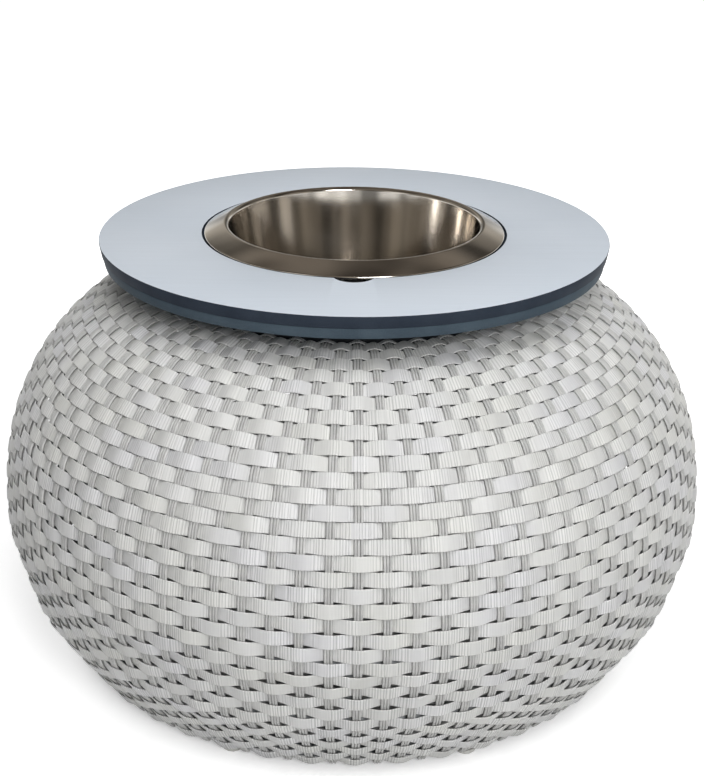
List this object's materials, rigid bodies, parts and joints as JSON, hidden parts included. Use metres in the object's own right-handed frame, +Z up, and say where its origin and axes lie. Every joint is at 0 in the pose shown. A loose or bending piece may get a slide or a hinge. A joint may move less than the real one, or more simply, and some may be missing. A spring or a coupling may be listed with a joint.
{
  "type": "ice bucket coffee table",
  "caption": "Round patio coffee table: a squat woven globe under a two-layer disc top, a lift-out steel bowl hung in its cut-out as an ice bucket, and a half-moon finger notch at its brim.",
  "frame": {"origin": "on the floor under the axis of the globe", "axes": "+Z up along the axis of the globe, -Y towards the finger notch, which is the front"},
  "size_m": [0.7148, 0.7148, 0.4343],
  "materials": {
    "laminate": "satin pale grey laminate with a faint brushed grain",
    "dark_layer": "dark solid core, satin",
    "steel": "polished",
    "rattan": "warm grey synthetic rattan, satin",
    "painted_tube": "powder-coated grey",
    "painted_collar": "powder-coated near black",
    "screw_steel": "plain",
    "glide_plastic": "off-white, matte"
  },
  "bodies": {
    "table": {"tabletop_panel": "laminate", "backing_ring": "dark_layer", "woven_shell": "rattan", "frame_top_ring": "painted_tube", "frame_widest_ring": "painted_tube", "frame_lower_ring": "painted_tube", "frame_base_ring": "painted_tube", "frame_upper_rib_1": "painted_tube", "frame_upper_rib_2": "painted_tube", "frame_upper_rib_3": "painted_tube", "frame_upper_rib_4": "painted_tube", "frame_upper_rib_5": "painted_tube", "frame_upper_rib_6": "painted_tube", "frame_upper_rib_7": "painted_tube", "frame_upper_rib_8": "painted_tube", "frame_mid_strut_1": "painted_tube", "frame_mid_strut_2": "painted_tube", "frame_mid_strut_3": "painted_tube", "frame_mid_strut_4": "painted_tube", "frame_mid_strut_5": "painted_tube", "frame_mid_strut_6": "painted_tube", "frame_mid_strut_7": "painted_tube", "frame_mid_strut_8": "painted_tube", "frame_lower_strut_1": "painted_tube", "frame_lower_strut_2": "painted_tube", "frame_lower_strut_3": "painted_tube", "frame_lower_strut_4": "painted_tube", "frame_lower_strut_5": "painted_tube", "frame_lower_strut_6": "painted_tube", "frame_lower_strut_7": "painted_tube", "frame_lower_strut_8": "painted_tube", "top_collar": "painted_collar", "top_bracket_1": "painted_collar", "top_bracket_2": "painted_collar", "top_bracket_3": "painted_collar", "top_bracket_4": "painted_collar", "top_screw_1": "screw_steel", "top_screw_2": "screw_steel", "top_screw_3": "screw_steel", "top_screw_4": "screw_steel", "glide_1": "glide_plastic", "glide_2": "glide_plastic", "glide_3": "glide_plastic", "glide_4": "glide_plastic", "glide_5": "glide_plastic", "glide_6": "glide_plastic", "glide_7": "glide_plastic", "glide_8": "glide_plastic"},
    "bowl": {"ice_bowl": "steel"}
  },
  "joints": [
    {"name": "bowl_lift", "type": "slide", "parent": "table", "child": "bowl", "axis": [0, 0, 1], "range_m": [0, 0.15]}
  ]
}
